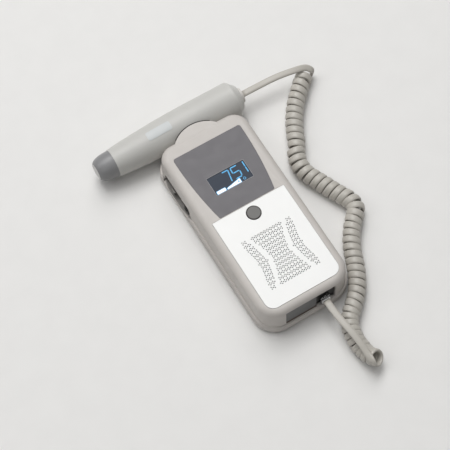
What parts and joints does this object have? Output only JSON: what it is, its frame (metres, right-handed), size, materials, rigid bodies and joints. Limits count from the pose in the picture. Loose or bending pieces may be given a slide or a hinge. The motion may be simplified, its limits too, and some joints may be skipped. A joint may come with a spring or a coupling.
{
  "type": "fetal doppler monitor",
  "caption": "Handheld fetal doppler: two-shell casing with display, button and perforated speaker plate; a round probe lies along its end, joined by a curly cord.",
  "frame": {"origin": "centre of the flat back face that the casing rests on", "axes": "+Z out of the display face, +Y along the casing toward the end that carries the probe, +X to the right"},
  "size_m": [0.1856, 0.2474, 0.0305],
  "materials": {
    "casing_plastic": "fine moulded texture, warm light grey",
    "plate_white": "satin white, perforated",
    "overlay_grey": "fine matt membrane, dark grey",
    "window_dark": "clear, dark behind",
    "button_grey": "satin",
    "wheel_plastic": "moulded, scalloped",
    "jack_black": "moulded black",
    "panel_smoke": "smoked panel",
    "probe_plastic": "smooth satin, light grey-green",
    "tip_grey": "smooth satin mid grey",
    "lens_pale": "smooth cast rubber, pale grey",
    "label_white": "blank film label",
    "cord_grey": "satin flexible jacket, light grey",
    "gland_white": "moulded",
    "plug_clear": "clear moulded",
    "contact_gold": "plated",
    "spring_steel": "nickel plated",
    "screw_steel": "zinc plated",
    "board_green": "solder mask",
    "component_black": "moulded",
    "ribbon_amber": "flexible film",
    "cable_grey": "flat cable jacket",
    "speaker_steel": "black painted basket",
    "cone_paper": "doped paper",
    "gasket_foam": "closed-cell foam",
    "cell_jacket": "plain shrink jacket",
    "crystal_ceramic": "fired ceramic",
    "backing_resin": "cast resin"
  },
  "bodies": {
    "root": {"front_shell": "casing_plastic", "rear_shell": "casing_plastic", "display_overlay": "overlay_grey", "display_window": "window_dark", "speaker_plate": "plate_white", "button_switch": "component_black", "lcd_module": "component_black", "display_ribbon": "ribbon_amber", "main_board": "board_green", "volume_potentiometer": "spring_steel", "headphone_jack": "jack_black", "probe_jack": "jack_black", "jack_board": "board_green", "jack_cable": "cable_grey", "end_window": "panel_smoke", "speaker_gasket": "gasket_foam", "loudspeaker_frame": "speaker_steel", "loudspeaker_cone": "cone_paper", "battery_cells": "cell_jacket", "battery_springs": "spring_steel", "battery_contacts": "spring_steel", "case_screws": "screw_steel", "board_screws": "screw_steel", "cord_probe_lead": "cord_grey", "cord_coil": "cord_grey", "cord_plug_lead": "cord_grey", "cord_plug": "plug_clear", "plug_contacts": "contact_gold"},
    "button": {"power_button": "button_grey"},
    "wheel": {"volume_wheel": "wheel_plastic"},
    "door": {"battery_door": "casing_plastic"},
    "probe": {"probe_housing": "probe_plastic", "probe_tip": "tip_grey", "probe_lens": "lens_pale", "transducer_crystals": "crystal_ceramic", "crystal_backing": "backing_resin", "probe_board": "board_green", "probe_label": "label_white", "probe_end_cap": "probe_plastic", "probe_gland": "gland_white"}
  },
  "joints": [
    {"name": "button_press", "type": "slide", "parent": "root", "child": "button", "axis": [0, 0, -1], "range_m": [0, 0.0008], "stiffness_N_per_m": 600, "springref_m": -0.0004},
    {"name": "volume_turn", "type": "hinge", "parent": "root", "child": "wheel", "pos_m": [-0.0263, 0.051, 0.0129], "axis": [0, 0, 1], "range_deg": [0, 270]},
    {"name": "battery_door_slide", "type": "slide", "parent": "root", "child": "door", "axis": [0, -1, 0], "range_m": [0, 0.0075]},
    {"name": "probe_pull", "type": "slide", "parent": "root", "child": "probe", "axis": [0, 1, 0], "range_m": [0, 0.03], "deforming": ["cord_probe_lead"]}
  ]
}
